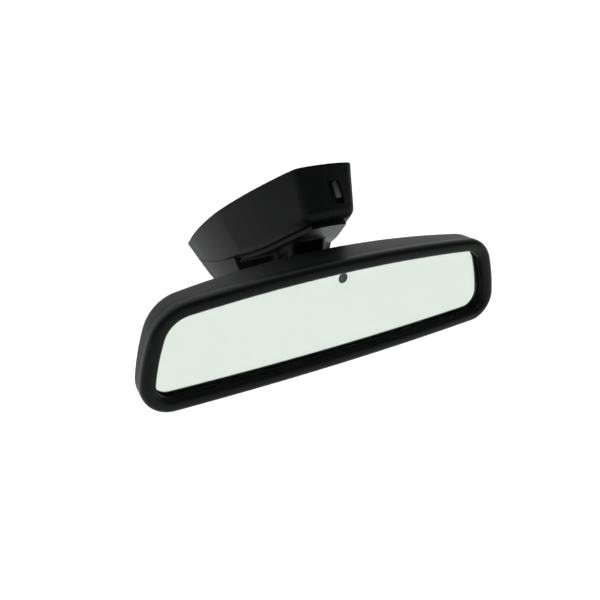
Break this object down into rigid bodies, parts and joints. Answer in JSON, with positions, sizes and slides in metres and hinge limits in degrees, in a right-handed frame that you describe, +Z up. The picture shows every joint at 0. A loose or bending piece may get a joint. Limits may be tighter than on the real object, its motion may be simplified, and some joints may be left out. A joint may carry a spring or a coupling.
{
  "type": "interior rearview mirror",
  "caption": "Auto-dimming interior rearview mirror: framed wide glass with a glare sensor spot, on a ball joint under a boat-shaped windscreen foot cover.",
  "frame": {"origin": "on the windscreen, in the middle of the button socket's mouth", "axes": "+X to the driver's right, +Y forward to the windscreen, +Z up; the mirror glass faces -Y"},
  "size_m": [0.2472, 0.1575, 0.1166],
  "materials": {
    "bezel_black": "fine satin moulded plastic",
    "housing_black": "fine grained moulded plastic",
    "clear_glass": "polished",
    "seal_black": "matt",
    "clear_gel": "clear",
    "mirror_coat": "reflective back coating",
    "clip_steel": "tinned spring strip",
    "foam_grey": "closed-cell foam tape",
    "carrier_black": "moulded",
    "board_green": "solder resist",
    "chip_black": "moulded epoxy",
    "header_black": "moulded",
    "smoked_lens": "smoked clear plastic",
    "screw_steel": "zinc plated",
    "liner_acetal": "natural acetal",
    "spring_steel": "tempered",
    "socket_black": "glass-filled nylon",
    "ball_steel": "ground",
    "casting_alloy": "die cast, tumbled",
    "cover_black": "fine grained moulded plastic",
    "shroud_black": "satin moulded plastic",
    "sensor_grey": "moulded"
  },
  "bodies": {
    "foot": {"ball_stud": "ball_steel", "foot_casting": "casting_alloy", "button_spring": "spring_steel", "plate_screws": "screw_steel", "cover_clips": "spring_steel", "left_cover": "cover_black", "right_cover": "cover_black", "lower_shroud": "shroud_black", "air_sensor": "sensor_grey", "sensor_tray": "carrier_black"},
    "liner": {"ball_liner": "liner_acetal"},
    "cup": {"spring_cup": "spring_steel"},
    "head": {"ambient_lens": "smoked_lens", "ambient_sensor": "chip_black", "ball_socket": "socket_black", "bezel": "bezel_black", "board_chips": "chip_black", "board_header": "header_black", "board_spacers": "carrier_black", "carrier_plate": "carrier_black", "cell_gel": "clear_gel", "cell_seal": "seal_black", "circuit_board": "board_green", "foam_pad": "foam_grey", "front_glass": "clear_glass", "glare_sensor": "chip_black", "housing_screws": "screw_steel", "light_pipe": "smoked_lens", "lower_bus_clip": "clip_steel", "rear_glass": "mirror_coat", "rear_housing": "housing_black", "socket_screws": "screw_steel", "upper_bus_clip": "clip_steel"}
  },
  "joints": [
    {"name": "swivel", "type": "hinge", "parent": "foot", "child": "liner", "pos_m": [0, -0.07067, -0.03968], "axis": [0, 0, 1], "range_deg": [-18, 18]},
    {"name": "tilt", "type": "hinge", "parent": "liner", "child": "cup", "pos_m": [0, -0.07067, -0.03968], "axis": [1, 0, 0], "range_deg": [-12, 12]},
    {"name": "roll", "type": "hinge", "parent": "cup", "child": "head", "pos_m": [0, -0.07067, -0.03968], "axis": [0, 1, 0], "range_deg": [-6, 6]}
  ]
}
